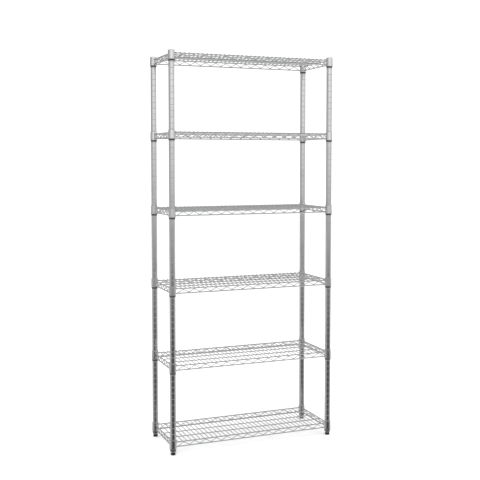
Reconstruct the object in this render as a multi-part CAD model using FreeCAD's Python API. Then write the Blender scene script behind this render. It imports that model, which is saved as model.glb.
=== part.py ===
import FreeCAD, Part
import math
import os

# Wire shelving rack with six tiers on four grooved round posts.
# Millimetres. +X is the width, -Y the front, +Z up. The origin is on the floor,
# midway between the four posts.

# Driving dimensions
POST_SPAN_X = 740.0        # between post centres, left to right
POST_SPAN_Y = 268.0        # between post centres, front to back
RACK_HEIGHT = 1717.0
INCH = 25.4
POST_RADIUS = INCH / 2     # standard 1 inch post
POST_WALL = 1.2
GROOVE_PITCH = INCH
GROOVE_DEPTH = 0.35
GROOVE_WIDTH = 1.8         # at the surface
GROOVE_FLOOR = 0.8         # at the bottom of the groove
TIER_COUNT = 6
TIER_PITCH = 13 * GROOVE_PITCH
LOWEST_TIER = 19.0         # bottom of the lowest clip sleeve above the floor

# Collar and clip sleeve heights, above the bottom of a tier's clip sleeves
SLEEVE_HEIGHT = 42.0
SLEEVE_BEAD = 22.0         # the bead that snaps into a post groove
COLLAR_BOTTOM = 8.0
COLLAR_TOP = 45.0
COLLAR_WALL = 1.2
COLLAR_RIM = 0.6           # rounding of the collar's outer rims
TAPER_BOTTOM = 14.1        # outer radius of the sleeve at the collar's bottom
TAPER_TOP = 13.5           # outer radius of the sleeve at its top
SLEEVE_TOE = 13.3          # outer radius of the sleeve at its bottom edge
SLEEVE_FLARE = 6.5         # height where the sleeve's toe reaches its full radius
SHOULDER_HEIGHT = 5.0      # height of the shoulder below that
SHOULDER_DEPTH = 0.3       # how far the shoulder is inside the full radius
SLEEVE_SLIT = 4.0          # degrees left open at each slit
POST_CLEARANCE = 0.1       # between the post and the sleeve
SLEEVE_DRAFT = 0.05        # how much wider the sleeve's bore is at its two ends
CONE_CLEARANCE = 0.1       # between the sleeve and the collar

# Shelf wires
EDGE_WIRE = 2.75           # radius of the wires along the shelf's edge
LACE_WIRE = 1.6            # radius of the zigzag wire between them
MAT_WIRE = 1.5             # radius of the front to back wires of the deck
ROD_WIRE = 2.25            # radius of the rods under them
LOWER_EDGE = 14.5          # centre of the lower edge wire above the tier's base
UPPER_EDGE = 34.0
WELD = 0.3                 # how far one wire sinks into another at a weld
LACE_BEND = 4.0            # radius at the bends of the zigzag wire
LACE_CUT = 0.5             # how far its sharp corners would pass the bends
LACE_END = 24.0            # from a post's centre to the end of the zigzag wire
LACE_WAVES_X = 14
LACE_WAVES_Y = 5
MAT_COUNT = 36
MAT_OVERHANG = 1.65        # from an edge wire's centre to the end of a deck wire
ROD_COUNT = 3

# Levelling feet, heights above the floor
PAD_HEIGHT = 10.5
PAD_RADIUS = 10.0
PAD_FLOOR = 3.6            # thickness under the stem's socket
PAD_CHAMFER = 1.5          # at the bottom edge
PAD_BROW_HEIGHT = 2.0      # sloping band at the top edge
PAD_BROW_DEPTH = 1.2
HEX_BOTTOM = 10.6
HEX_TOP = 12.6
HEX_ACROSS_FLATS = 15.0
NUT_BOTTOM = 12.9
NUT_FLANGE = 1.2
NUT_TOP = 34.0
STEM_RADIUS = 5.0
STEM_TOP = 46.0
STEM_HEEL = 5.8            # radius of the plain heel that turns in the pad
STEM_TIP = 0.6             # chamfer at the top of the stem
HEEL_GAP = 0.3             # between the heel and the pad's floor
THREAD_PITCH = 1.5
THREAD_DEPTH = 0.7
THREAD_CREST = 0.15        # width of a ridge's flat top
THREAD_START = 0.2         # plain length above the hexagon
RUNNING_CLEARANCE = 0.07

# Post ends
CAP_FLANGE = 1.5
CAP_PLUG = 12.0
SEAM_GROOVES = 33          # grooves on a lower post section
SEAM_GAP = 0.1
JOINER_LENGTH = 25.0
JOINER_STUD = 4.0          # radius of the stud across a seam
STUD_LENGTH = 44.0
LEAD_IN = 1.0              # chamfer on plugs and studs
PRESS_GAP = 0.05           # around plugs and studs
EDGE_BREAK = 0.4           # small chamfer on turned edges
ARC_MIDDLE = 1 - math.sqrt(0.5)   # inset of a rounded edge's middle point

# Worked out from the above
POST_BOTTOM = NUT_BOTTOM + NUT_FLANGE
POST_TOP = RACK_HEIGHT - CAP_FLANGE
BORE_RADIUS = POST_RADIUS - POST_WALL
PLUG_RADIUS = BORE_RADIUS - PRESS_GAP
FIRST_GROOVE = LOWEST_TIER + SLEEVE_BEAD - GROOVE_PITCH
SEAM = FIRST_GROOVE + (SEAM_GROOVES - 0.5) * GROOVE_PITCH
MAT_HEIGHT = UPPER_EDGE + EDGE_WIRE + MAT_WIRE - WELD
ROD_HEIGHT = MAT_HEIGHT - MAT_WIRE - ROD_WIRE + WELD
CORNERS = {
    "front_left": (-POST_SPAN_X / 2, -POST_SPAN_Y / 2),
    "front_right": (POST_SPAN_X / 2, -POST_SPAN_Y / 2),
    "rear_left": (-POST_SPAN_X / 2, POST_SPAN_Y / 2),
    "rear_right": (POST_SPAN_X / 2, POST_SPAN_Y / 2),
}
UP = FreeCAD.Vector(0, 0, 1)


def vec(x, y, z):
    return FreeCAD.Vector(x, y, z)


def turned(outline, degrees=360.0, start=0.0):
    """A solid turned about Z from an outline of (radius, height) points."""
    points = [vec(r, 0, z) for r, z in outline]
    face = Part.Face(Part.makePolygon(points + points[:1]))
    solid = face.revolve(vec(0, 0, 0), UP, degrees)
    solid.rotate(vec(0, 0, 0), UP, start)
    return solid if solid.ShapeType == "Solid" else solid.Solids[0]


def rod(radius, start, end):
    """A straight round wire between two points."""
    along = vec(*end) - vec(*start)
    return Part.makeCylinder(radius, along.Length, vec(*start), along)


def moved(shape, x, y, z):
    copy = shape.copy()
    copy.translate(vec(x, y, z))
    return copy


def at_corners(shape):
    """The same shape at each of the four posts, as separate solids."""
    solids = []
    for x, y in CORNERS.values():
        solids += moved(shape, x, y, 0).Solids
    return Part.makeCompound(solids)


def export(shape, node):
    shape.exportStep("parts/" + node + ".step")


# Posts


def groove_outline(height):
    """The four outline points of one groove, from its lower edge up."""
    floor = POST_RADIUS - GROOVE_DEPTH
    return [
        (POST_RADIUS, height - GROOVE_WIDTH / 2),
        (floor, height - GROOVE_FLOOR / 2),
        (floor, height + GROOVE_FLOOR / 2),
        (POST_RADIUS, height + GROOVE_WIDTH / 2),
    ]


def post_section(bottom, top):
    """A length of grooved tube, with its outer edges broken."""
    outline = [
        (BORE_RADIUS, bottom),
        (POST_RADIUS - EDGE_BREAK, bottom),
        (POST_RADIUS, bottom + EDGE_BREAK),
    ]
    count = int((POST_TOP - FIRST_GROOVE) / GROOVE_PITCH)
    for n in range(count + 1):
        height = FIRST_GROOVE + n * GROOVE_PITCH
        if bottom < height - GROOVE_WIDTH and height + GROOVE_WIDTH < top:
            outline += groove_outline(height)
    outline += [
        (POST_RADIUS, top - EDGE_BREAK),
        (POST_RADIUS - EDGE_BREAK, top),
        (BORE_RADIUS, top),
    ]
    return turned(outline)


def post_cap():
    """A flanged plug that closes the top of a post."""
    rim = POST_TOP + CAP_FLANGE
    return turned([
        (0, POST_TOP - CAP_PLUG),
        (PLUG_RADIUS - LEAD_IN, POST_TOP - CAP_PLUG),
        (PLUG_RADIUS, POST_TOP - CAP_PLUG + LEAD_IN),
        (PLUG_RADIUS, POST_TOP),
        (POST_RADIUS, POST_TOP),
        (POST_RADIUS, rim - 2 * EDGE_BREAK),
        (POST_RADIUS - 2 * EDGE_BREAK, rim),
        (0, rim),
    ])


def joiner_plugs():
    """The two bored plugs that face each other at the seam of a post."""
    bore = JOINER_STUD + PRESS_GAP
    solids = []
    for low in (SEAM - SEAM_GAP - JOINER_LENGTH, SEAM + SEAM_GAP):
        high = low + JOINER_LENGTH
        outline = [(bore, low), (PLUG_RADIUS, low), (PLUG_RADIUS, high), (bore, high)]
        solids.append(turned(outline))
    return Part.makeCompound(solids)


def joiner_stud():
    low = SEAM - STUD_LENGTH / 2
    high = SEAM + STUD_LENGTH / 2
    end = JOINER_STUD - LEAD_IN
    return turned([
        (0, low), (end, low), (JOINER_STUD, low + LEAD_IN),
        (JOINER_STUD, high - LEAD_IN), (end, high), (0, high),
    ])


# Clip sleeves and collars


def taper_radius(height):
    """Outer radius of a clip sleeve, which narrows from the collar's bottom to its top."""
    share = (height - COLLAR_BOTTOM) / (SLEEVE_HEIGHT - COLLAR_BOTTOM)
    return TAPER_BOTTOM + (TAPER_TOP - TAPER_BOTTOM) * share


def sleeve_halves():
    """A split sleeve: two plastic half shells with a bead inside, clipped round a post."""
    inner = POST_RADIUS + POST_CLEARANCE
    crest = POST_RADIUS - GROOVE_DEPTH + 2 * POST_CLEARANCE
    foot = GROOVE_WIDTH / 2 - POST_CLEARANCE
    tip = GROOVE_FLOOR / 2 - POST_CLEARANCE
    outline = [
        (inner + SLEEVE_DRAFT, 0),
        (SLEEVE_TOE, 0),
        (TAPER_BOTTOM - SHOULDER_DEPTH, SHOULDER_HEIGHT),
        (TAPER_BOTTOM, SLEEVE_FLARE),
        (TAPER_BOTTOM, COLLAR_BOTTOM),
        (taper_radius(SLEEVE_HEIGHT), SLEEVE_HEIGHT),
        (inner + SLEEVE_DRAFT, SLEEVE_HEIGHT),
        (inner, SLEEVE_BEAD + foot),
        (crest, SLEEVE_BEAD + tip),
        (crest, SLEEVE_BEAD - tip),
        (inner, SLEEVE_BEAD - foot),
    ]
    arc = 180 - SLEEVE_SLIT
    halves = [turned(outline, arc, start + SLEEVE_SLIT / 2) for start in (0, 180)]
    return Part.makeCompound(halves)


def collar():
    """A tapered steel collar at one corner of a shelf, with rounded rims."""
    low = taper_radius(COLLAR_BOTTOM) + CONE_CLEARANCE
    high = taper_radius(COLLAR_TOP) + CONE_CLEARANCE
    wall = COLLAR_WALL
    rim = COLLAR_RIM
    return turned([
        (low, COLLAR_BOTTOM),
        (low + wall - rim, COLLAR_BOTTOM),
        (low + wall - rim * ARC_MIDDLE, COLLAR_BOTTOM + rim * ARC_MIDDLE),
        (low + wall, COLLAR_BOTTOM + rim),
        (high + wall, COLLAR_TOP - rim),
        (high + wall - rim * ARC_MIDDLE, COLLAR_TOP - rim * ARC_MIDDLE),
        (high + wall - rim, COLLAR_TOP),
        (high, COLLAR_TOP),
    ])


def collar_radius(height):
    return taper_radius(height) + CONE_CLEARANCE + COLLAR_WALL


# Shelf edges and deck


def lace_path(length, waves, low, high):
    """A zigzag line along X, with an arc at each bend."""
    count = 2 * waves
    step = length / count
    corners = [
        vec(-length / 2 + n * step, 0, high if n % 2 else low) for n in range(count + 1)
    ]
    half_turn = math.atan2(high - low, step)
    cut = LACE_BEND * math.tan(half_turn)
    rise = LACE_BEND / math.cos(half_turn) - LACE_BEND
    edges = []
    last = corners[0]
    for before, bend, after in zip(corners, corners[1:], corners[2:]):
        into = (before - bend).normalize()
        out = (after - bend).normalize()
        enter = bend + into * cut
        leave = bend + out * cut
        middle = bend + (into + out).normalize() * rise
        edges.append(Part.LineSegment(last, enter).toShape())
        edges.append(Part.Arc(enter, middle, leave).toShape())
        last = leave
    edges.append(Part.LineSegment(last, corners[-1]).toShape())
    return Part.Wire(edges)


def lace(span, waves):
    """The zigzag wire of one shelf edge, along X."""
    reach = EDGE_WIRE + LACE_WIRE - WELD
    low = LOWER_EDGE + reach - LACE_CUT
    high = UPPER_EDGE - reach + LACE_CUT
    path = lace_path(span - 2 * LACE_END, waves, low, high)
    first = path.Edges[0]
    start = first.valueAt(first.FirstParameter)
    heading = first.tangentAt(first.FirstParameter)
    ring = Part.Wire([Part.makeCircle(LACE_WIRE, start, heading)])
    return path.makePipeShell([ring], True, False)


def edge_truss(span, waves):
    """Upper and lower edge wires with the zigzag between them, along X."""
    wires = []
    for height in (LOWER_EDGE, UPPER_EDGE):
        reach = span / 2 - collar_radius(height) + WELD
        wires.append(rod(EDGE_WIRE, (-reach, 0, height), (reach, 0, height)))
    truss = wires[0].fuse([wires[1], lace(span, waves)])
    return truss.Solids[0]


def deck():
    """Front to back wires on top, welded to rods that run the shelf's length."""
    pitch = POST_SPAN_X / (MAT_COUNT + 1)
    half = POST_SPAN_Y / 2 + MAT_OVERHANG
    reach = POST_SPAN_X / 2 - EDGE_WIRE + WELD
    wires = []
    for n in range(1, MAT_COUNT + 1):
        x = -POST_SPAN_X / 2 + n * pitch
        wires.append(rod(MAT_WIRE, (x, -half, MAT_HEIGHT), (x, half, MAT_HEIGHT)))
    rods = []
    for n in range(1, ROD_COUNT + 1):
        y = -POST_SPAN_Y / 2 + n * POST_SPAN_Y / (ROD_COUNT + 1)
        rods.append(rod(ROD_WIRE, (-reach, y, ROD_HEIGHT), (reach, y, ROD_HEIGHT)))
    mat = rods[0].fuse(rods[1:] + wires)
    return mat.Solids[0]


# Levelling feet


def foot_nut():
    """The flanged insert in the bottom of a post that the foot's stem screws into."""
    bore = STEM_RADIUS + RUNNING_CLEARANCE
    return turned([
        (bore, NUT_BOTTOM),
        (POST_RADIUS - EDGE_BREAK, NUT_BOTTOM),
        (POST_RADIUS, NUT_BOTTOM + EDGE_BREAK),
        (POST_RADIUS, POST_BOTTOM),
        (PLUG_RADIUS, POST_BOTTOM),
        (PLUG_RADIUS, NUT_TOP),
        (bore, NUT_TOP),
    ])


def foot_stem():
    """A ridged stud with a hexagon to turn it by and a plain heel in the pad."""
    heel = PAD_FLOOR + HEEL_GAP
    root = STEM_RADIUS - THREAD_DEPTH
    inside_hexagon = (HEX_BOTTOM + HEX_TOP) / 2
    outline = [(0, heel), (STEM_HEEL, heel), (STEM_HEEL, inside_hexagon), (root, inside_hexagon)]
    height = HEX_TOP + THREAD_START
    while height + THREAD_PITCH < STEM_TOP:
        crest = height + THREAD_PITCH / 2
        outline.append((root, height))
        outline.append((STEM_RADIUS, crest - THREAD_CREST / 2))
        outline.append((STEM_RADIUS, crest + THREAD_CREST / 2))
        height += THREAD_PITCH
    outline += [(root, height), (root - STEM_TIP, STEM_TOP), (0, STEM_TOP)]
    stud = turned(outline)
    corner = HEX_ACROSS_FLATS / math.sqrt(3)
    points = []
    for n in range(7):
        angle = math.radians(60 * n)
        points.append(vec(corner * math.cos(angle), corner * math.sin(angle), HEX_BOTTOM))
    hexagon = Part.Face(Part.makePolygon(points)).extrude(vec(0, 0, HEX_TOP - HEX_BOTTOM))
    return stud.fuse(hexagon).Solids[0]


def foot_pad():
    """The round plastic base of a levelling foot, with a socket for the stem's heel."""
    socket = STEM_HEEL + RUNNING_CLEARANCE
    return turned([
        (0, 0),
        (PAD_RADIUS - PAD_CHAMFER, 0),
        (PAD_RADIUS, PAD_CHAMFER),
        (PAD_RADIUS, PAD_HEIGHT - PAD_BROW_HEIGHT),
        (PAD_RADIUS - PAD_BROW_DEPTH, PAD_HEIGHT),
        (socket, PAD_HEIGHT),
        (socket, PAD_FLOOR),
        (0, PAD_FLOOR),
    ])


def tier_base(tier):
    return LOWEST_TIER + (tier - 1) * TIER_PITCH


def build_posts():
    lower = post_section(POST_BOTTOM, SEAM)
    upper = post_section(SEAM, POST_TOP)
    for corner, (x, y) in CORNERS.items():
        export(moved(lower, x, y, 0), "post_" + corner + "_lower")
        export(moved(upper, x, y, 0), "post_" + corner + "_upper")
    export(at_corners(post_cap()), "post_caps")
    export(at_corners(joiner_plugs()), "joiner_plugs")
    export(at_corners(joiner_stud()), "joiner_studs")
    export(at_corners(foot_nut()), "foot_nuts")


def build_sleeves():
    halves = sleeve_halves()
    solids = []
    for tier in range(1, TIER_COUNT + 1):
        solids += at_corners(moved(halves, 0, 0, tier_base(tier))).Solids
    export(Part.makeCompound(solids), "clip_sleeves")


def build_shelves():
    long_edge = edge_truss(POST_SPAN_X, LACE_WAVES_X)
    short_edge = edge_truss(POST_SPAN_Y, LACE_WAVES_Y)
    short_edge.rotate(vec(0, 0, 0), UP, 90)
    top_deck = deck()
    collars = at_corners(collar())
    pieces = {
        "front_edge": moved(long_edge, 0, -POST_SPAN_Y / 2, 0),
        "rear_edge": moved(long_edge, 0, POST_SPAN_Y / 2, 0),
        "left_edge": moved(short_edge, -POST_SPAN_X / 2, 0, 0),
        "right_edge": moved(short_edge, POST_SPAN_X / 2, 0, 0),
        "deck": top_deck,
        "collars": collars,
    }
    for tier in range(1, TIER_COUNT + 1):
        for name, shape in pieces.items():
            export(moved(shape, 0, 0, tier_base(tier)), "shelf_%d_%s" % (tier, name))


def build_feet():
    stem = foot_stem()
    pad = foot_pad()
    for corner, (x, y) in CORNERS.items():
        export(moved(stem, x, y, 0), "foot_stem_" + corner)
        export(moved(pad, x, y, 0), "foot_pad_" + corner)


os.makedirs("parts", exist_ok=True)
build_posts()
build_sleeves()
build_shelves()
build_feet()
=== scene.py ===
import math
import random

import bpy
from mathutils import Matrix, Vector


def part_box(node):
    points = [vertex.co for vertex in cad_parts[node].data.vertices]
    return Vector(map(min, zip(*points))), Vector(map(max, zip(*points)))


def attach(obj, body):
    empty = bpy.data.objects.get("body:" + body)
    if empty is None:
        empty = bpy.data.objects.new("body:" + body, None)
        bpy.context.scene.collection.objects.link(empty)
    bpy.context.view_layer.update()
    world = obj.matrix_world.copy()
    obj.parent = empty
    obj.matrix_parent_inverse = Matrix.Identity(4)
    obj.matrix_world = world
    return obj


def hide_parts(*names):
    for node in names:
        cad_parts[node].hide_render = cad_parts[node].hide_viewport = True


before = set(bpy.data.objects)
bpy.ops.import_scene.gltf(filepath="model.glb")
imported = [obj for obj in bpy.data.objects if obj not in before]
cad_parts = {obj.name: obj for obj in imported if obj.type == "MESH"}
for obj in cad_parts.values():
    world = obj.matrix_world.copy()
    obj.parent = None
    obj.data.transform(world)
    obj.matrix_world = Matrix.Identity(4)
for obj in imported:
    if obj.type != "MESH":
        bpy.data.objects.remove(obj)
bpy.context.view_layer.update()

bl_info = {
    "name": "Wire shelving rack",
    "version": (1, 0, 0),
    "blender": (4, 5, 0),
    "location": "View3D > Sidebar > Rack",
    "description": "Builds the visible pieces of a chrome wire shelving rack",
    "category": "Object",
}

MM = 0.001
CORNERS = ("front_left", "front_right", "rear_left", "rear_right")
TIERS = range(1, 1 + sum(name.endswith("_deck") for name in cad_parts))


# Places and sizes read from the frame


def low(node):
    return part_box(node)[0]


def high(node):
    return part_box(node)[1]


def middle(node):
    return (low(node) + high(node)) / 2


POST_RADIUS = (high("post_front_left_lower").x - low("post_front_left_lower").x) / 2
POST_X = middle("post_rear_right_lower").x
POST_Y = middle("post_rear_right_lower").y
POST_FOOT = low("post_front_left_lower").z
POST_SEAM = high("post_front_left_lower").z
POST_END = high("post_front_left_upper").z
TIER_BASE = low("clip_sleeves").z
TIER_PITCH = low("shelf_2_deck").z - low("shelf_1_deck").z
SLEEVE_HEIGHT = high("clip_sleeves").z - TIER_BASE - TIER_PITCH * (len(TIERS) - 1)
SLEEVE_RADIUS = high("clip_sleeves").x - POST_X
COLLAR_LOW = low("shelf_1_collars").z - TIER_BASE
COLLAR_HIGH = high("shelf_1_collars").z - TIER_BASE
COLLAR_RADIUS = high("shelf_1_collars").y - POST_Y
EDGE_RADIUS = (high("shelf_1_front_edge").y - low("shelf_1_front_edge").y) / 2
LOWER_EDGE = low("shelf_1_front_edge").z - TIER_BASE + EDGE_RADIUS
UPPER_EDGE = high("shelf_1_front_edge").z - TIER_BASE - EDGE_RADIUS
PAD_RADIUS = high("foot_pad_front_right").x - POST_X
PAD_TOP = high("foot_pad_front_right").z
STEM_HEEL = low("foot_stem_front_right").z
STEM_TOP = high("foot_stem_front_right").z


def corner_point(corner):
    x = POST_X if corner.endswith("right") else -POST_X
    y = POST_Y if corner.startswith("rear") else -POST_Y
    return x, y


def tier_base(tier):
    return TIER_BASE + (tier - 1) * TIER_PITCH


# Settings a user would change


def length(name, description, millimetres):
    return bpy.props.FloatProperty(
        name=name, description=description, default=millimetres * MM, unit="LENGTH", precision=5
    )


def share(name, description, default):
    return bpy.props.FloatProperty(
        name=name, description=description, default=default, min=0, max=1, subtype="FACTOR"
    )


def colour(name, description, default):
    return bpy.props.FloatVectorProperty(
        name=name, description=description, default=default, size=3, min=0, max=1, subtype="COLOR"
    )


def count(name, description, default):
    return bpy.props.IntProperty(name=name, description=description, default=default, min=1)


class RackSizes(bpy.types.PropertyGroup):
    """Sizes that the frame's boxes don't give."""

    groove_depth: length("Groove depth", "Depth of the ring grooves in the posts", 0.35)
    groove_width: length("Groove width", "Width of a ring groove at the post's surface", 1.8)
    groove_pitch: length("Groove pitch", "From one ring groove to the next", 25.4)
    groove_first: length("Lowest groove", "Height of the lowest ring groove", 15.6)
    tube_wall: length("Tube wall", "Wall of a post's tube", 1.2)
    collar_wall: length("Collar wall", "Wall of a tapered collar", 1.2)
    collar_fall: length("Collar taper", "How much narrower a collar is at its top", 0.65)
    sleeve_fall: length("Sleeve taper", "How much narrower a clip sleeve is at its top", 0.6)
    sleeve_bead: length("Bead height", "Height of a clip sleeve's bead above its bottom", 22)
    sleeve_toe: length("Sleeve toe", "Radius of a clip sleeve at its bottom edge", 13.3)
    lace_radius: length("Zigzag wire", "Radius of the zigzag wire in a shelf edge", 1.6)
    lace_end: length("Zigzag end", "From a post's centre to the end of the zigzag wire", 24)
    lace_bend: length("Zigzag bend", "Radius at the bends of the zigzag wire", 4)
    lace_waves_long: count("Long zigzags", "Waves in a front or rear edge", 14)
    lace_waves_short: count("Short zigzags", "Waves in a left or right edge", 5)
    mat_radius: length("Deck wire", "Radius of the front to back deck wires", 1.5)
    mat_count: count("Deck wires", "Front to back wires in a deck", 36)
    rod_radius: length("Rod", "Radius of the rods under the deck wires", 2.25)
    rod_count: count("Rods", "Lengthwise rods in a deck", 3)
    stem_radius: length("Stem", "Radius over a foot's thread", 5)
    heel_radius: length("Heel", "Radius of the stem's plain heel", 5.8)
    hex_low: length("Hexagon bottom", "Bottom of a foot's hexagon above the floor", 10.6)
    hex_high: length("Hexagon top", "Top of a foot's hexagon above the floor", 12.6)
    hex_flats: length("Hexagon width", "Across the flats of a foot's hexagon", 15)
    thread_pitch: length("Thread pitch", "Pitch of a foot's thread", 1.5)
    thread_depth: length("Thread depth", "Depth of a foot's thread", 0.7)


class RackFinishes(bpy.types.PropertyGroup):
    """Colours and gloss of the rack's finishes."""

    post_chrome: colour("Post chrome", "Reflection colour of the plated posts", (0.88, 0.885, 0.89))
    wire_chrome: colour("Wire chrome", "Reflection colour of the plated wires", (0.82, 0.825, 0.83))
    collar_chrome: colour("Collar chrome", "Reflection colour of the collars", (0.89, 0.89, 0.895))
    weld_grey: colour("Weld", "Colour of the plated weld nuggets", (0.50, 0.50, 0.51))
    zinc: colour("Zinc", "Colour of the zinc plated screws", (0.62, 0.63, 0.65))
    sleeve_plastic: colour("Sleeve plastic", "Colour of the clip sleeves", (0.045, 0.045, 0.048))
    black_plastic: colour("Black plastic", "Colour of the feet", (0.012, 0.012, 0.014))
    grey_plastic: colour("Grey plastic", "Colour of the post caps", (0.42, 0.425, 0.43))
    post_roughness: share("Post roughness", "Roughness of clean post plating", 0.07)
    wire_roughness: share("Wire roughness", "Roughness of clean wire plating", 0.13)


class RackStage(bpy.types.PropertyGroup):
    """Camera, floor and light."""

    camera_place: bpy.props.FloatVectorProperty(
        name="Camera place", description="Where the camera stands", size=3,
        default=(-1.441, -3.561, 1.253), subtype="TRANSLATION", unit="LENGTH",
    )
    camera_turn: bpy.props.FloatProperty(
        name="Camera turn", description="Turn of the view to the right of +Y",
        default=math.radians(21.92), subtype="ANGLE",
    )
    camera_tilt: bpy.props.FloatProperty(
        name="Camera tilt", description="How far the view looks down",
        default=math.radians(3.35), subtype="ANGLE",
    )
    camera_lens: bpy.props.FloatProperty(
        name="Lens", description="Focal length in millimetres", default=63.95, unit="CAMERA"
    )
    camera_shift: bpy.props.FloatProperty(
        name="Shift", description="Vertical shift of the picture", default=-0.06
    )
    floor_size: length("Floor size", "Side of the square floor", 30000)
    floor_shade: colour("Floor shade", "Colour of the floor", (0.95, 0.95, 0.95))
    room_light: bpy.props.FloatProperty(
        name="Room light", description="Brightness of the even light all round", default=1.22
    )


def sizes():
    return bpy.context.scene.rack_sizes


def finishes():
    return bpy.context.scene.rack_finishes


# Shader expressions


class Socket:
    """A shader value that adds Math nodes when it is used in an expression."""

    def __init__(self, tree, link):
        self.tree = tree
        self.link = link

    def maths(self, operation, *values):
        node = self.tree.nodes.new("ShaderNodeMath")
        node.operation = operation
        for slot, value in zip(node.inputs, values):
            fill(self.tree, slot, value)
        return Socket(self.tree, node.outputs[0])

    def __add__(self, other):
        return self.maths("ADD", self, other)

    def __radd__(self, other):
        return self.maths("ADD", other, self)

    def __sub__(self, other):
        return self.maths("SUBTRACT", self, other)

    def __rsub__(self, other):
        return self.maths("SUBTRACT", other, self)

    def __mul__(self, other):
        return self.maths("MULTIPLY", self, other)

    def __rmul__(self, other):
        return self.maths("MULTIPLY", other, self)

    def __truediv__(self, other):
        return self.maths("DIVIDE", self, other)

    def __rtruediv__(self, other):
        return self.maths("DIVIDE", other, self)

    def __pow__(self, other):
        return self.maths("POWER", self, other)

    def __rpow__(self, other):
        return self.maths("POWER", other, self)

    def __abs__(self):
        return self.maths("ABSOLUTE", self)

    def __neg__(self):
        return self.maths("SUBTRACT", 0.0, self)


def fill(tree, slot, value):
    """Links or sets one input socket."""
    if isinstance(value, Socket):
        tree.links.new(value.link, slot)
    elif slot.type == "RGBA" and len(value) == 3:
        slot.default_value = (*value, 1)
    else:
        slot.default_value = value


class Recipe:
    """A node tree that is filled one node at a time."""

    def __init__(self, tree):
        self.tree = tree
        tree.nodes.clear()

    def node(self, kind, settings, values):
        """A node of that kind: its settings first, then its sockets by name or number."""
        node = self.tree.nodes.new("ShaderNode" + kind)
        for name, value in settings.items():
            if name == "stops":
                set_stops(node.color_ramp, value)
            else:
                setattr(node, name, value)
        for name, value in values.items():
            fill(self.tree, node.inputs[name], value)
        return node

    def value(self, kind, settings, values, output=0):
        """The same, giving one of the node's outputs."""
        return Socket(self.tree, self.node(kind, settings, values).outputs[output])

    def place(self):
        """The point's own coordinates in the rack's frame, in metres."""
        return self.value("TexCoord", {}, {}, "Object")

    def split(self, vector):
        """A vector's three parts."""
        node = self.node("SeparateXYZ", {}, {0: vector})
        return [Socket(self.tree, output) for output in node.outputs]

    def stretched(self, vector, scale):
        """A vector with each part multiplied by its own number."""
        return self.value("VectorMath", {"operation": "MULTIPLY"}, {0: vector, 1: scale})

    def dot(self, vector, fixed):
        """How far a vector reaches along a fixed direction."""
        values = {0: vector, 1: fixed}
        return self.value("VectorMath", {"operation": "DOT_PRODUCT"}, values, "Value")

    def noise(self, vector, scale, detail=2.0, roughness=0.5):
        values = {"Vector": vector, "Scale": scale, "Detail": detail, "Roughness": roughness}
        return self.value("TexNoise", {}, values)

    def ramp(self, value, start, end):
        """0 below start, 1 above end and smooth between."""
        values = {"Value": value, "From Min": start, "From Max": end}
        return self.value("MapRange", {"interpolation_type": "SMOOTHSTEP"}, values)

    def mix(self, first, second, factor):
        """Between two colours."""
        return self.value("Mix", {"data_type": "RGBA"}, {0: factor, 6: first, 7: second}, 2)

    def bump(self, height, distance, strength):
        """A normal that follows a height, whose full range stands for the distance."""
        values = {"Height": height, "Distance": distance, "Strength": strength}
        return self.value("Bump", {}, values)

    def surface(self, varying, fixed):
        """The Principled shader: what changes over the surface, then plain values."""
        shader = self.node("BsdfPrincipled", {}, {**varying, **fixed})
        output = self.node("OutputMaterial", {}, {})
        self.tree.links.new(shader.outputs[0], output.inputs[0])


def set_stops(ramp, stops):
    """Gives a colour ramp its (place, brightness) stops."""
    while len(ramp.elements) < len(stops):
        ramp.elements.new(0.5)
    for element, (place, value) in zip(ramp.elements, stops):
        element.position = place
        element.color = (value, value, value, 1)


def tint(base, factor):
    """A colour made darker or brighter."""
    return tuple(min(1, c * factor) for c in base)


# Finishes. Each takes an empty recipe and fills it.


def post_chrome(mix):
    """Mirror plating on a turned tube: soft haze, faint polishing rings, and grooves that are
    rougher and darkened with painted shade.
    """
    place = mix.place()
    x, y, _ = mix.split(place)
    across = ((abs(x) - POST_X) ** 2 + (abs(y) - POST_Y) ** 2) ** 0.5
    depth = sizes().groove_depth
    # 1 inside a ring groove: there the plating is rougher, and its colour is darkened with painted
    #                         shade
    groove = 1 - mix.ramp(across, POST_RADIUS - depth, POST_RADIUS - depth * 0.15)
    haze = mix.ramp(mix.noise(place, scale=14.0, detail=4.0, roughness=0.6), 0.42, 0.72)
    smudges = mix.noise(mix.stretched(place, (60, 60, 9)), scale=1.0, detail=3.0)
    smudge = mix.ramp(smudges, 0.5, 0.75)
    rings = mix.noise(mix.stretched(place, (5, 5, 2600)), scale=1.0, detail=1.0)
    base = finishes().post_chrome
    bright = mix.mix(base, tint(base, 0.93), haze)
    height = rings * 0.3 + mix.noise(place, scale=420.0) * 0.5
    mix.surface(
        {
            # Painted shade: the colour darkens towards 0.7 of the base inside the grooves
            "Base Color": mix.mix(bright, tint(base, 0.7), groove * 0.8),
            "Roughness": finishes().post_roughness + haze * 0.05 + smudge * 0.06 + groove * 0.12,
            "Normal": mix.bump(height, distance=0.02 * MM, strength=0.35),
        },
        {"Metallic": 1.0},
    )


def wire_chrome(mix):
    """Plated wire: a little cloudy, with fine drawing grain and small pits."""
    place = mix.place()
    cloud = mix.ramp(mix.noise(place, scale=38.0, detail=4.0, roughness=0.6), 0.4, 0.75)
    pits = mix.ramp(mix.noise(place, scale=260.0, detail=3.0, roughness=0.7), 0.66, 0.76)
    grain = mix.noise(place, scale=900.0)
    base = finishes().wire_chrome
    clouded = mix.mix(base, tint(base, 0.9), cloud)
    mix.surface(
        {
            "Base Color": mix.mix(clouded, tint(base, 0.6), pits * 0.5),
            "Roughness": finishes().wire_roughness + cloud * 0.08 + pits * 0.25,
            "Normal": mix.bump(grain, distance=0.03 * MM, strength=0.3),
        },
        {"Metallic": 1.0},
    )


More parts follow.
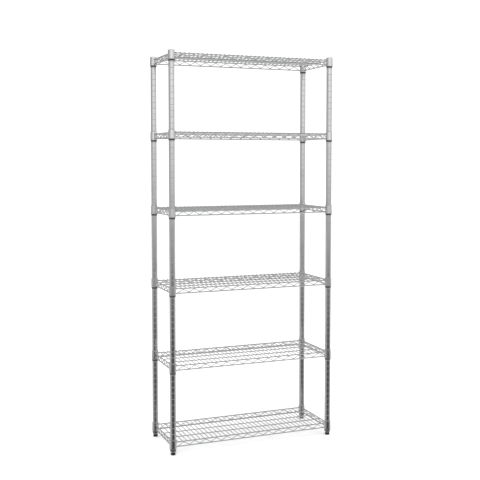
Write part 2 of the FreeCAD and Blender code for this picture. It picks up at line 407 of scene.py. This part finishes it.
def collar_chrome(mix):
    """Bright plating on a pressed collar, with soft smears where hands hold a shelf."""
    place = mix.place()
    smear = mix.ramp(mix.noise(place, scale=26.0, detail=4.0, roughness=0.6), 0.45, 0.75)
    grain = mix.noise(mix.stretched(place, (300, 300, 90)), scale=1.0)
    base = finishes().collar_chrome
    mix.surface(
        {
            "Base Color": mix.mix(base, tint(base, 0.92), smear),
            "Roughness": finishes().post_roughness + smear * 0.09,
            "Normal": mix.bump(grain, distance=0.02 * MM, strength=0.3),
        },
        {"Metallic": 1.0},
    )


def weld_chrome(mix):
    """Plating over a resistance weld: greyer, lumpy, with a dull skin."""
    lumps = mix.noise(mix.place(), scale=700.0, detail=3.0, roughness=0.65)
    base = finishes().weld_grey
    mix.surface(
        {
            "Base Color": mix.mix(tint(base, 0.72), tint(base, 1.25), mix.ramp(lumps, 0.3, 0.7)),
            "Roughness": 0.24 + lumps * 0.22,
            "Normal": mix.bump(lumps, distance=0.1 * MM, strength=0.6),
        },
        {"Metallic": 1.0},
    )


def zinc_plate(mix):
    """Zinc on screws and nuts: fine crystals and a soft sheen."""
    place = mix.place()
    crystals = mix.value("TexVoronoi", {"feature": "F1"}, {"Vector": place, "Scale": 900.0})
    spangle = mix.ramp(crystals, 0.1, 0.7)
    cloud = mix.ramp(mix.noise(place, scale=90.0, detail=3.0), 0.35, 0.7)
    base = finishes().zinc
    clouded = mix.mix(base, tint(base, 0.82), cloud)
    mix.surface(
        {
            "Base Color": mix.mix(clouded, tint(base, 1.15), spangle * 0.35),
            "Roughness": 0.28 + cloud * 0.12 + spangle * 0.05,
            "Normal": mix.bump(spangle, distance=0.04 * MM, strength=0.4),
        },
        {"Metallic": 1.0},
    )


def moulded(mix, base, roughness):
    """Moulded plastic with a fine spark texture, flow marks and a little dust."""
    place = mix.place()
    spark = mix.noise(place, scale=2600.0, detail=3.0, roughness=0.6)
    marks = mix.noise(mix.stretched(place, (70, 70, 22)), scale=1.0, detail=3.0)
    flow = mix.ramp(marks, 0.4, 0.7)
    dust = mix.ramp(mix.noise(place, scale=520.0, detail=4.0, roughness=0.7), 0.6, 0.78)
    dusty = tuple(c * 0.8 + 0.03 for c in base)
    marked = mix.mix(base, tint(base, 1.5), flow)
    mix.surface(
        {
            "Base Color": mix.mix(marked, dusty, dust * 0.4),
            "Roughness": roughness + flow * 0.08 + spark * 0.1,
            "Normal": mix.bump(spark, distance=0.06 * MM, strength=0.5),
        },
        {"IOR": 1.48},
    )


def sleeve_plastic(mix):
    """The clip sleeves' plastic."""
    moulded(mix, finishes().sleeve_plastic, roughness=0.3)


def black_plastic(mix):
    """The feet's plastic."""
    moulded(mix, finishes().black_plastic, roughness=0.38)


def grey_plastic(mix):
    """The post caps' plastic."""
    moulded(mix, finishes().grey_plastic, roughness=0.34)


def floor_paint(mix):
    """The studio's even pale floor."""
    shade = bpy.context.scene.rack_stage.floor_shade
    mottle = mix.noise(mix.place(), scale=3.0, detail=3.0)
    mix.surface(
        {"Base Color": mix.mix(shade, tint(shade, 0.985), mottle)},
        {"Roughness": 0.9, "Specular IOR Level": 0.1},
    )


def finish(maker):
    """The material that a finish makes, made the first time it is asked for."""
    name = maker.__name__
    if name not in bpy.data.materials:
        made = bpy.data.materials.new(name)
        made.use_nodes = True
        maker(Recipe(made.node_tree))
    return bpy.data.materials[name]


# Mesh building

# The places of the finishes in a piece's list
MAIN_FINISH = 0
WELD_FINISH = 1

# How near to a corner of an outline its soft shading ends
HOLD = 0.2 * MM


def held(outline):
    """The outline with a point near each end of its long straight runs, so that soft
    shading at a corner stays at the corner."""
    points = []
    for here, there in zip(outline, outline[1:] + outline[:1]):
        points.append(here)
        run = math.dist(here, there)
        meets_axis = 0 in (here[0], there[0])
        if run > 5 * HOLD and not meets_axis:
            for way in (HOLD / run, 1 - HOLD / run):
                points.append(tuple(a + (b - a) * way for a, b in zip(here, there)))
    return points


def rounded(radius, height, size, steps=4):
    """A rounded top edge, as (radius, height) points from the side up to the top."""
    return [
        (radius - size * (1 - math.cos(a)), height - size * (1 - math.sin(a)))
        for a in (math.pi / 2 * n / steps for n in range(steps + 1))
    ]


def rounded_foot(radius, height, size, steps=4):
    """A rounded bottom edge, as (radius, height) points from the bottom out to the side."""
    return [(r, 2 * height - h) for r, h in reversed(rounded(radius, height, size, steps))]


class Shape:
    """The points and faces of one piece, each face with the place of its finish."""

    def __init__(self):
        self.points = []
        self.faces = []
        self.finish_numbers = []

    def ring(self, points):
        """Adds points and gives their numbers."""
        start = len(self.points)
        self.points += [tuple(p) for p in points]
        return list(range(start, start + len(points)))

    def face(self, corners, number):
        """One face; corners that coincide at a pole count once."""
        corners = tuple(dict.fromkeys(corners))
        if len(corners) > 2:
            self.faces.append(corners)
            self.finish_numbers.append(number)

    def skin(self, rings, number, closed=True):
        """Faces between each ring and the next."""
        for first, second in zip(rings, rings[1:]):
            steps = len(first) if closed else len(first) - 1
            for n in range(steps):
                m = (n + 1) % len(first)
                self.face((first[n], first[m], second[m], second[n]), number)

    def swept(self, stations, sides, number):
        """A closed round bar through (point, radius) stations."""
        points = [Vector(point) for point, radius in stations]
        runs = [(b - a).normalized() for a, b in zip(points, points[1:])]
        headings = [runs[0]]
        headings += [(a + b).normalized() for a, b in zip(runs, runs[1:])]
        headings.append(runs[-1])
        side = headings[0].orthogonal().normalized()
        turns = [math.tau * n / sides for n in range(sides)]
        rings = []
        for point, heading, (_, radius) in zip(points, headings, stations):
            side = (side - heading * side.dot(heading)).normalized()
            up = heading.cross(side)
            rings.append(self.ring([
                point + (side * math.cos(a) + up * math.sin(a)) * radius for a in turns
            ]))
        self.skin(rings, number)
        self.face(reversed(rings[0]), number)
        self.face(rings[-1], number)

    def wire(self, path, radius, sides=12):
        """A round wire along a path, with its cut ends rounded off."""
        soft = 0.35 * radius
        nose = (
            (0.0, radius - soft), (0.3 * soft, radius - 0.3 * soft), (soft, radius),
            (2 * soft, radius),
        )
        first, second, before, last = (Vector(path[n]) for n in (0, 1, -2, -1))
        into = (second - first).normalized()
        back = (before - last).normalized()
        stations = [(first + into * way, reach) for way, reach in nose]
        stations += [(point, radius) for point in path[1:-1]]
        stations += [(last + back * way, reach) for way, reach in reversed(nose)]
        self.swept(stations, sides, MAIN_FINISH)

    def lathe(self, outline, centre, sides=48, start=0.0, arc=math.tau, radius_at=None):
        """An outline of (radius, height) points turned about an upright axis.
        It closes by itself unless both its ends are on the axis. radius_at gives a
        radius that depends on the angle too."""
        whole = arc >= math.tau
        angles = [start + arc * n / sides for n in range(sides if whole else sides + 1)]
        outline = held(outline)
        rings = []
        for radius, height in outline:
            if radius == 0:
                rings.append(self.ring([(centre[0], centre[1], height)]) * len(angles))
                continue
            reach = [radius_at(radius, height, a) if radius_at else radius for a in angles]
            rings.append(self.ring([
                (centre[0] + r * math.cos(a), centre[1] + r * math.sin(a), height)
                for r, a in zip(reach, angles)
            ]))
        closing = [] if outline[0][0] == 0 and outline[-1][0] == 0 else rings[:1]
        self.skin(rings + closing, MAIN_FINISH, whole)
        if not whole:
            self.face([ring[0] for ring in rings], MAIN_FINISH)
            self.face([ring[-1] for ring in reversed(rings)], MAIN_FINISH)

    def nugget(self, centre, reach):
        """The small rounded lump of a resistance weld. reach is its half size each way."""
        turns = [math.tau * n / 8 for n in range(8)]
        rings = []
        for level in (-0.92, -0.5, 0.0, 0.5, 0.92):
            width = math.sqrt(1 - level * level)
            rings.append(self.ring([
                (
                    centre[0] + reach[0] * width * math.cos(a),
                    centre[1] + reach[1] * width * math.sin(a),
                    centre[2] + reach[2] * level,
                )
                for a in turns
            ]))
        self.skin(rings, WELD_FINISH)
        self.face(reversed(rings[0]), WELD_FINISH)
        self.face(rings[-1], WELD_FINISH)

    def piece(self, name, body, makers, replaced, sharp=40.0):
        """Makes the object, gives it its finishes and ties it to the frame."""
        mesh = bpy.data.meshes.new(name)
        mesh.from_pydata(self.points, [], self.faces)
        for maker in makers:
            mesh.materials.append(finish(maker))
        mesh.polygons.foreach_set("material_index", self.finish_numbers)
        mesh.polygons.foreach_set("use_smooth", [True] * len(mesh.polygons))
        mesh.set_sharp_from_angle(angle=math.radians(sharp))
        if mesh.validate(verbose=False):
            raise RuntimeError("%s has faces that don't close" % name)
        made = bpy.data.objects.new(name, mesh)
        bpy.context.scene.collection.objects.link(made)
        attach(made, body)
        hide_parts(*replaced)
        return made


# Posts

# How round the cut end of a post's tube is
TUBE_EDGE = 0.4 * MM
# A ring groove's section, as (share of its half width, share of its depth)
GROOVE_SECTION = (
    (-1.0, 0.0), (-0.8, 0.1), (-0.6, 0.55), (-0.4, 0.93), (0.0, 1.0),
    (0.4, 0.93), (0.6, 0.55), (0.8, 0.1), (1.0, 0.0),
)


def post_outline(bottom, top):
    """The closed outline of a grooved tube, with softened groove shoulders."""
    s = sizes()
    bore = POST_RADIUS - s.tube_wall
    half = s.groove_width / 2
    outline = [(bore, bottom)]
    outline += rounded_foot(POST_RADIUS, bottom, TUBE_EDGE, 3)
    height = s.groove_first
    while height + s.groove_width < top:
        if height - s.groove_width > bottom:
            outline += [
                (POST_RADIUS - s.groove_depth * down, height + half * way)
                for way, down in GROOVE_SECTION
            ]
        height += s.groove_pitch
    outline += rounded(POST_RADIUS, top, TUBE_EDGE, 3)
    outline.append((bore, top))
    return outline


class RACK_OT_posts(bpy.types.Operator):
    """Build the grooved posts, each in a lower and an upper section"""

    bl_idname = "rack.posts"
    bl_label = "Posts"

    def execute(self, context):
        sections = (("lower", POST_FOOT, POST_SEAM), ("upper", POST_SEAM, POST_END))
        for corner in CORNERS:
            for part, bottom, top in sections:
                node = "post_%s_%s" % (corner, part)
                shape = Shape()
                shape.lathe(post_outline(bottom, top), corner_point(corner), sides=64)
                shape.piece(node + "_tube", "posts", [post_chrome], [node])
        return {"FINISHED"}


class RACK_OT_caps(bpy.types.Operator):
    """Build the plugs that close the post tops"""

    bl_idname = "rack.caps"
    bl_label = "Post caps"

    def execute(self, context):
        bottom = low("post_caps").z
        top = high("post_caps").z
        clearance = 0.05 * MM
        plug = POST_RADIUS - sizes().tube_wall - clearance
        plug_chamfer = 1 * MM
        flange_chamfer = 0.2 * MM
        flange_round = 0.9 * MM
        dish = top - 0.25 * MM
        outline = [
            (0, bottom), (plug - plug_chamfer, bottom), (plug, bottom + plug_chamfer),
            (plug, POST_END), (POST_RADIUS - flange_chamfer, POST_END),
            (POST_RADIUS, POST_END + flange_chamfer),
        ]
        outline += rounded(POST_RADIUS, top, flange_round, 5)
        outline += [(0.72 * POST_RADIUS, top), (0.68 * POST_RADIUS, dish), (0, dish)]
        shape = Shape()
        for corner in CORNERS:
            shape.lathe(outline, corner_point(corner))
        shape.piece("post_cap_plugs", "posts", [grey_plastic], ["post_caps"])
        return {"FINISHED"}


# Clip sleeves and collars

# Parts of a clip sleeve's section, as (added radius, height above its bottom) in
# millimetres: the toe with a ring groove, on the toe's radius, and the swell to the
# full radius, on that radius
SLEEVE_TOE = ((-0.25, 0.0), (0.0, 0.25), (0.05, 2.2), (-0.15, 2.45), (-0.15, 2.85), (0.15, 3.1))
SLEEVE_SWELL = ((-0.35, 5.0), (-0.08, 6.0), (0.0, 6.5))
# The bead's section, as (share of its depth, share of its half width)
BEAD_SECTION = ((0.0, 1.0), (0.7, 0.6), (1.0, 0.25), (1.0, -0.25), (0.7, -0.6), (0.0, -1.0))
# The slit between two half sleeves, and the tongues that bridge it
SLIT = math.radians(4)
KEY_HEIGHTS = (11 * MM, 31 * MM)
KEY_LENGTH = 5 * MM


def sleeve_radius(height):
    """Outer radius of a clip sleeve at a height above its bottom, within the collar."""
    up = (height - COLLAR_LOW) / (SLEEVE_HEIGHT - COLLAR_LOW)
    return SLEEVE_RADIUS - sizes().sleeve_fall * up


def sleeve_outline(base):
    """A half sleeve's wall: grooved toe, tapered outside, bead inside."""
    s = sizes()
    top = base + SLEEVE_HEIGHT
    inner = POST_RADIUS + 0.1 * MM
    narrow = sleeve_radius(SLEEVE_HEIGHT)
    lead = 0.15 * MM
    soft = 0.3 * MM
    bead = base + s.sleeve_bead
    bead_half = s.groove_width / 2 - 0.1 * MM
    bead_crest = POST_RADIUS - s.groove_depth + 0.2 * MM
    outline = [(inner + lead, base)]
    outline += [(s.sleeve_toe + out * MM, base + up * MM) for out, up in SLEEVE_TOE]
    outline += [(SLEEVE_RADIUS + out * MM, base + up * MM) for out, up in SLEEVE_SWELL]
    outline += [
        (SLEEVE_RADIUS, base + COLLAR_LOW), (narrow + 0.02 * MM, top - soft),
        (narrow - 0.25 * MM, top), (inner + lead, top), (inner, top - soft),
    ]
    outline += [
        (inner + (bead_crest - inner) * down, bead + bead_half * way)
        for down, way in BEAD_SECTION
    ]
    outline.append((inner, base + soft))
    return outline


def sleeve_key(base, height):
    """A small tongue that bridges the slit between two half sleeves."""
    bottom = base + height
    top = bottom + KEY_LENGTH
    inner = POST_RADIUS + 0.3 * MM
    outer = sleeve_radius(height) - 0.25 * MM
    return [(inner, bottom), (outer, bottom), (outer, top), (inner, top)]


class RACK_OT_sleeves(bpy.types.Operator):
    """Build the split clip sleeves, two half shells at each post and tier"""

    bl_idname = "rack.sleeves"
    bl_label = "Clip sleeves"

    def execute(self, context):
        shape = Shape()
        for tier in TIERS:
            outline = sleeve_outline(tier_base(tier))
            for corner in CORNERS:
                centre = corner_point(corner)
                for start in (0, math.pi):
                    shape.lathe(outline, centre, 22, start + SLIT / 2, math.pi - SLIT)
                    for height in KEY_HEIGHTS:
                        key = sleeve_key(tier_base(tier), height)
                        shape.lathe(key, centre, 2, start - 0.9 * SLIT, 1.8 * SLIT)
        shape.piece("clip_sleeve_halves", "posts", [sleeve_plastic], ["clip_sleeves"])
        return {"FINISHED"}


def collar_radius(height):
    """Outer radius of a collar at a height above the tier's base."""
    up = (height - COLLAR_LOW) / (COLLAR_HIGH - COLLAR_LOW)
    return COLLAR_RADIUS - sizes().collar_fall * up


class RACK_OT_collars(bpy.types.Operator):
    """Build each shelf's four tapered collars, with rolled rims"""

    bl_idname = "rack.collars"
    bl_label = "Collars"

    def execute(self, context):
        rim = 0.55 * MM
        lead = 0.25 * MM
        wide = collar_radius(COLLAR_LOW)
        narrow = collar_radius(COLLAR_HIGH)
        wide_bore = wide - sizes().collar_wall
        narrow_bore = narrow - sizes().collar_wall
        for tier in TIERS:
            bottom = tier_base(tier) + COLLAR_LOW
            top = tier_base(tier) + COLLAR_HIGH
            outline = [(wide_bore, bottom + lead), (wide_bore + lead, bottom)]
            outline += rounded_foot(wide, bottom, rim)
            outline += rounded(narrow, top, rim)
            outline += [(narrow_bore + lead, top), (narrow_bore, top - lead)]
            shape = Shape()
            for corner in CORNERS:
                shape.lathe(outline, corner_point(corner))
            shape.piece(
                "shelf_%d_corner_collars" % tier, "shelf_%d" % tier,
                [collar_chrome], ["shelf_%d_collars" % tier],
            )
        return {"FINISHED"}


# Shelf edges

# The weld from the end of a bar onto its collar, as (distance outside the collar's side,
# added radius) in millimetres
BAR_WELD = ((0.25, 0.95), (-0.5, 0.75), (-1.2, 0.3), (-2.0, -0.1))
# Half the size of the weld where a zigzag wire meets a bar: along, across and upright
LACE_WELD = (3.2 * MM, 1.3 * MM, 0.9 * MM)
# How far the zigzag wire is sunk into a bar
LACE_SINK = 0.8 * MM


def zigzag(span, waves, bottom, top, bend):
    """A zigzag with rounded bends: its line as (distance, height) points, and its bends."""
    step = span / (2 * waves)
    corners = [(-span / 2 + n * step, top if n % 2 else bottom) for n in range(2 * waves + 1)]
    slope = math.atan2(top - bottom, step)
    line = [corners[0]]
    for n, (along, height) in enumerate(corners[1:-1], 1):
        way = 1 if n % 2 else -1
        hub = height - way * bend / math.cos(slope)
        for k in range(-4, 5):
            angle = slope * k / 4
            line.append((along + bend * math.sin(angle), hub + way * bend * math.cos(angle)))
    line.append(corners[-1])
    return line, corners[1:-1]


def edge_truss(shape, put, half_span, half_bar, waves, base, chance):
    """Two bars with a zigzag wire welded between them. put turns a (distance, height)
    pair into a point."""
    s = sizes()
    lower = base + LOWER_EDGE
    upper = base + UPPER_EDGE
    for height in (lower, upper):
        shape.wire([put(-half_bar, height), put(half_bar, height)], EDGE_RADIUS, sides=16)
        collar_side = half_span - collar_radius(height - base)
        for way in (-1, 1):
            uneven = chance.uniform(0.85, 1.1)
            stations = [
                (put(way * (collar_side + out * MM), height), EDGE_RADIUS + swell * MM * uneven)
                for out, swell in BAR_WELD
            ]
            shape.swept(stations, 14, WELD_FINISH)
    reach = EDGE_RADIUS + s.lace_radius - LACE_SINK
    span = 2 * (half_span - s.lace_end)
    line, bends = zigzag(span, waves, lower + reach, upper - reach, s.lace_bend)
    shape.wire([put(*point) for point in line], s.lace_radius)
    weld_along, weld_across, weld_upright = LACE_WELD
    for along, height in bends:
        in_upper_half = height > (lower + upper) / 2
        bar_side = upper - EDGE_RADIUS if in_upper_half else lower + EDGE_RADIUS
        along += chance.uniform(-0.3, 0.3) * MM
        grow = chance.uniform(0.85, 1.15)
        point = Vector(put(along, bar_side))
        run = Vector(put(along + weld_along * grow, bar_side)) - point
        shape.nugget(
            point, (abs(run.x) or weld_across, abs(run.y) or weld_across, weld_upright * grow)
        )


class RACK_OT_edges(bpy.types.Operator):
    """Build the shelf edges: two bars with a zigzag wire between them"""

    bl_idname = "rack.edges"
    bl_label = "Shelf edges"

    def execute(self, context):
        chance = random.Random(7)
        s = sizes()
        for tier in TIERS:
            for edge, way in (("front", -1), ("rear", 1), ("left", -1), ("right", 1)):
                node = "shelf_%d_%s_edge" % (tier, edge)
                shape = Shape()
                if edge in ("front", "rear"):
                    edge_truss(
                        shape, lambda along, height: (along, way * POST_Y, height),
                        POST_X, high(node).x, s.lace_waves_long, tier_base(tier), chance,
                    )
                else:
                    edge_truss(
                        shape, lambda along, height: (way * POST_X, along, height),
                        POST_Y, high(node).y, s.lace_waves_short, tier_base(tier), chance,
                    )
                shape.piece(
                    node + "_wires", "shelf_%d" % tier,
                    [wire_chrome, weld_chrome], [node],
                )
        return {"FINISHED"}


# Decks

# Half the size of the weld where a deck wire crosses a rod or a bar
DECK_WELD = (1.75 * MM, 2.0 * MM, 0.7 * MM)


class RACK_OT_decks(bpy.types.Operator):
    """Build the decks: front to back wires welded on lengthwise rods"""

    bl_idname = "rack.decks"
    bl_label = "Decks"

    def execute(self, context):
        s = sizes()
        chance = random.Random(11)
        pitch = 2 * POST_X / (s.mat_count + 1)
        rod_pitch = 2 * POST_Y / (s.rod_count + 1)
        rod_places = [-POST_Y + n * rod_pitch for n in range(1, s.rod_count + 1)]
        weld_across, weld_along, weld_upright = DECK_WELD
        for tier in TIERS:
            node = "shelf_%d_deck" % tier
            near = low(node)
            far = high(node)
            mat_height = far.z - s.mat_radius
            rod_height = near.z + s.rod_radius
            shape = Shape()
            for y in rod_places:
                ends = [(near.x, y, rod_height), (far.x, y, rod_height)]
                shape.wire(ends, s.rod_radius, sides=14)
            for n in range(1, s.mat_count + 1):
                x = -POST_X + n * pitch
                shape.wire([(x, near.y, mat_height), (x, far.y, mat_height)], s.mat_radius)
                for y in rod_places + [-POST_Y, POST_Y]:
                    grow = chance.uniform(0.85, 1.15)
                    at = (x + chance.uniform(-0.2, 0.2) * MM, y, mat_height - s.mat_radius)
                    shape.nugget(at, (weld_across * grow, weld_along * grow, weld_upright))
            shape.piece(
                node + "_grid", "shelf_%d" % tier, [wire_chrome, weld_chrome], [node]
            )
        return {"FINISHED"}


# Feet and inner hardware

FLUTES = 24
FLUTE_DEPTH = 0.3 * MM
# A thread ridge rises this much more than its depth, and is cut off flat at the depth
RIDGE_RISE = 1.15
THREAD_STEPS_PER_TURN = 6


def pad_radius(radius, height, angle):
    """A foot pad's radius: shallow flutes round its side."""
    if radius < PAD_RADIUS - 0.2 * MM:
        return radius
    return radius - FLUTE_DEPTH * (0.5 - 0.5 * math.cos(FLUTES * angle)) ** 2


def stem_radius(radius, height, angle):
    """A foot stem's radius: hexagon with chamfered corners, and a helical thread above it."""
    s = sizes()
    if s.hex_low <= height <= s.hex_high:
        sector = (angle % (math.pi / 3)) - math.pi / 6
        flat = s.hex_flats / 2 / math.cos(sector)
        return min(flat, radius)
    if height > s.hex_high:
        turns = (height - s.hex_high) / s.thread_pitch - angle / math.tau
        ridge = 1 - 2 * abs(turns % 1 - 0.5)
        return radius - s.thread_depth * (1 - min(1, RIDGE_RISE * ridge))
    return radius


def pad_outline():
    """A foot pad: rounded sole and shoulder, and the socket that its stem turns in."""
    sole = 1.6 * MM
    shoulder = 1.4 * MM
    lead = 0.3 * MM
    socket = sizes().heel_radius + 0.07 * MM
    socket_floor = STEM_HEEL - 0.3 * MM
    outline = [(0, 0), (PAD_RADIUS - sole - 0.2 * MM, 0)]
    outline += rounded_foot(PAD_RADIUS, 0, sole)
    outline += [(PAD_RADIUS, PAD_TOP - 2.2 * MM)]
    outline += rounded(PAD_RADIUS - 0.1 * MM, PAD_TOP, shoulder)
    outline += [
        (socket + lead, PAD_TOP), (socket, PAD_TOP - lead), (socket, socket_floor),
        (0, socket_floor),
    ]
    return outline


def stem_outline():
    """A foot stem: plain heel, hexagon with its corners' reach as radius, and thread."""
    s = sizes()
    heel_edge = 0.3 * MM
    hex_reach = s.hex_flats / math.sqrt(3)
    shoulder = hex_reach - 0.8 * MM
    bevel = 0.45 * MM
    point = 0.6 * MM
    outline = [
        (0, STEM_HEEL), (s.heel_radius - heel_edge, STEM_HEEL),
        (s.heel_radius, STEM_HEEL + heel_edge), (s.heel_radius, s.hex_low - 0.01 * MM),
        (shoulder, s.hex_low), (hex_reach, s.hex_low + bevel),
        (hex_reach, s.hex_high - bevel), (shoulder, s.hex_high),
    ]
    thread = STEM_TOP - s.hex_high
    steps = THREAD_STEPS_PER_TURN * round(thread / s.thread_pitch)
    outline += [(s.stem_radius, s.hex_high + n * thread / steps) for n in range(1, steps)]
    outline += [(s.stem_radius - point, STEM_TOP), (0, STEM_TOP)]
    return outline


class RACK_OT_feet(bpy.types.Operator):
    """Build the levelling feet: fluted plastic pads on threaded stems"""

    bl_idname = "rack.feet"
    bl_label = "Levelling feet"

    def execute(self, context):
        for corner in CORNERS:
            centre = corner_point(corner)
            shape = Shape()
            shape.lathe(pad_outline(), centre, sides=4 * FLUTES, radius_at=pad_radius)
            shape.piece(
                "foot_pad_%s_fluted" % corner, "pad_" + corner,
                [black_plastic], ["foot_pad_" + corner],
            )
            shape = Shape()
            shape.lathe(stem_outline(), centre, sides=36, radius_at=stem_radius)
            shape.piece(
                "foot_stem_%s_threaded" % corner, "stem_" + corner,
                [zinc_plate], ["foot_stem_" + corner], sharp=50.0,
            )
        return {"FINISHED"}


class RACK_OT_hardware(bpy.types.Operator):
    """Finish the joiner plugs, studs and foot nuts inside the posts"""

    bl_idname = "rack.hardware"
    bl_label = "Inner hardware"

    def execute(self, context):
        for node in ("joiner_plugs", "joiner_studs", "foot_nuts"):
            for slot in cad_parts[node].material_slots:
                slot.material = finish(zinc_plate)
        return {"FINISHED"}


# Stage

# Brightness of the room as the plating mirrors it, above and below eye level: from straight
# behind the rack over its left side, the viewer's side and its right side to the back
# again, as (share of the turn, brightness).
UPPER_ROOM = (
    (0.0, 0.58), (0.10, 0.42), (0.19, 0.34), (0.30, 0.40), (0.42, 0.72), (0.54, 0.95),
    (0.64, 0.74), (0.74, 0.60), (0.84, 0.66), (0.92, 0.62), (1.0, 0.58),
)
LOWER_ROOM = (
    (0.0, 0.36), (0.12, 0.48), (0.20, 0.58), (0.33, 0.34), (0.43, 0.12), (0.50, 0.05),
    (0.58, 0.05), (0.66, 0.16), (0.74, 0.36), (0.83, 0.66), (0.90, 0.42), (1.0, 0.36),
)
CEILING = (0.32, 0.32, 0.32)
DEEP_FLOOR = (1.0, 1.0, 1.0)
# How steep a mirrored direction is where one band gives way to the next, as the upward
# part of the direction: (the lower band ends, the upper band begins)
HORIZON = (-0.24, 0.12)
CEILING_EDGE = (0.2, 0.5)
FLOOR_EDGE = (0.4, 0.8)


# The camera's sensor in millimetres, and how far it sees in metres
SENSOR_WIDTH = 36.0
CLIP_END = 60.0


def room_tone(mix, turn):
    """The room that the plating mirrors: a bright band over a dark lower front, under a
    grey ceiling and over a white floor."""
    direction = mix.value("TexCoord", {}, {}, "Generated")
    upward = mix.split(direction)[2]
    viewer = (-math.sin(turn), -math.cos(turn), 0)
    right = (math.cos(turn), -math.sin(turn), 0)
    sideways = mix.dot(direction, right)
    angle = sideways.maths("ARCTAN2", sideways, mix.dot(direction, viewer)) / math.tau + 0.5
    upper = mix.value("ValToRGB", {"stops": UPPER_ROOM}, {0: angle})
    lower = mix.value("ValToRGB", {"stops": LOWER_ROOM}, {0: angle})
    room = mix.mix(lower, upper, mix.ramp(upward, *HORIZON))
    room = mix.mix(room, CEILING, mix.ramp(upward, *CEILING_EDGE))
    return mix.mix(room, DEEP_FLOOR, mix.ramp(-upward, *FLOOR_EDGE))


def build_world(context):
    """Even white light all round, and the painted room for mirrored rays only."""
    stage = context.scene.rack_stage
    world = bpy.data.worlds.new("studio")
    world.use_nodes = True
    mix = Recipe(world.node_tree)
    mirrored = mix.value("LightPath", {}, {}, "Is Glossy Ray")
    light = (stage.room_light,) * 3
    seen = mix.mix(light, room_tone(mix, stage.camera_turn), mirrored)
    background = mix.node("Background", {}, {"Color": seen, "Strength": 1.0})
    output = mix.node("OutputWorld", {}, {})
    mix.tree.links.new(background.outputs[0], output.inputs[0])
    context.scene.world = world


def build_floor(context):
    """A plain pale floor, which the plating doesn't mirror."""
    half = context.scene.rack_stage.floor_size / 2
    mesh = bpy.data.meshes.new("floor")
    corners = [(-half, -half, 0), (half, -half, 0), (half, half, 0), (-half, half, 0)]
    mesh.from_pydata(corners, [], [(0, 1, 2, 3)])
    mesh.materials.append(finish(floor_paint))
    floor = bpy.data.objects.new("floor", mesh)
    context.scene.collection.objects.link(floor)
    floor.visible_glossy = False


def build_softbox(context, name, place, aim, size, power):
    """A square area light at a place, turned to its aim."""
    light = bpy.data.lights.new(name, "AREA")
    light.shape = "SQUARE"
    light.size = size
    light.energy = power
    lamp = bpy.data.objects.new(name, light)
    lamp.location = place
    lamp.rotation_euler = (Vector(aim) - Vector(place)).to_track_quat("-Z", "Y").to_euler()
    lamp.visible_glossy = False
    context.scene.collection.objects.link(lamp)


def build_camera(context):
    """The camera of the main view."""
    stage = context.scene.rack_stage
    lens = bpy.data.cameras.new("camera")
    lens.lens = stage.camera_lens
    lens.sensor_width = SENSOR_WIDTH
    lens.shift_y = stage.camera_shift
    lens.clip_end = CLIP_END
    camera = bpy.data.objects.new("camera", lens)
    camera.location = stage.camera_place
    camera.rotation_euler = (math.pi / 2 - stage.camera_tilt, 0, -stage.camera_turn)
    context.scene.collection.objects.link(camera)
    context.scene.camera = camera


class RACK_OT_stage(bpy.types.Operator):
    """Set up the floor, the room, its lights and the camera"""

    bl_idname = "rack.stage"
    bl_label = "Stage"

    def execute(self, context):
        context.scene.view_settings.view_transform = "Standard"
        build_world(context)
        build_floor(context)
        build_softbox(
            context, "overhead_softbox", place=(0.2, -0.6, 4.2), aim=(0, 0, 0.4), size=4.0, power=60
        )
        build_softbox(
            context, "front_softbox", place=(-3.2, -3.4, 2.6), aim=(0, 0, 0.9), size=2.2, power=40
        )
        build_camera(context)
        return {"FINISHED"}


class RACK_PT_builder(bpy.types.Panel):
    """Buttons that build the rack, in order, and its settings"""

    bl_label = "Wire shelving rack"
    bl_idname = "RACK_PT_builder"
    bl_space_type = "VIEW_3D"
    bl_region_type = "UI"
    bl_category = "Rack"

    def draw(self, context):
        for operator in BUILDERS:
            self.layout.operator(operator.bl_idname)
        for name, group in GROUPS.items():
            box = self.layout.box()
            for setting in group.__annotations__:
                box.prop(getattr(context.scene, name), setting)


BUILDERS = (
    RACK_OT_stage, RACK_OT_posts, RACK_OT_caps, RACK_OT_sleeves, RACK_OT_collars,
    RACK_OT_edges, RACK_OT_decks, RACK_OT_feet, RACK_OT_hardware,
)
GROUPS = {"rack_sizes": RackSizes, "rack_finishes": RackFinishes, "rack_stage": RackStage}


def register():
    for item in (*GROUPS.values(), *BUILDERS, RACK_PT_builder):
        bpy.utils.register_class(item)
    for name, group in GROUPS.items():
        setattr(bpy.types.Scene, name, bpy.props.PointerProperty(type=group))


def unregister():
    for name in GROUPS:
        delattr(bpy.types.Scene, name)
    for item in (RACK_PT_builder, *reversed(BUILDERS), *reversed(GROUPS.values())):
        bpy.utils.unregister_class(item)


def main():
    register()
    bpy.ops.rack.stage()
    bpy.ops.rack.posts()
    bpy.ops.rack.caps()
    bpy.ops.rack.sleeves()
    bpy.ops.rack.collars()
    bpy.ops.rack.edges()
    bpy.ops.rack.decks()
    bpy.ops.rack.feet()
    bpy.ops.rack.hardware()


if __name__ == "__main__":
    main()
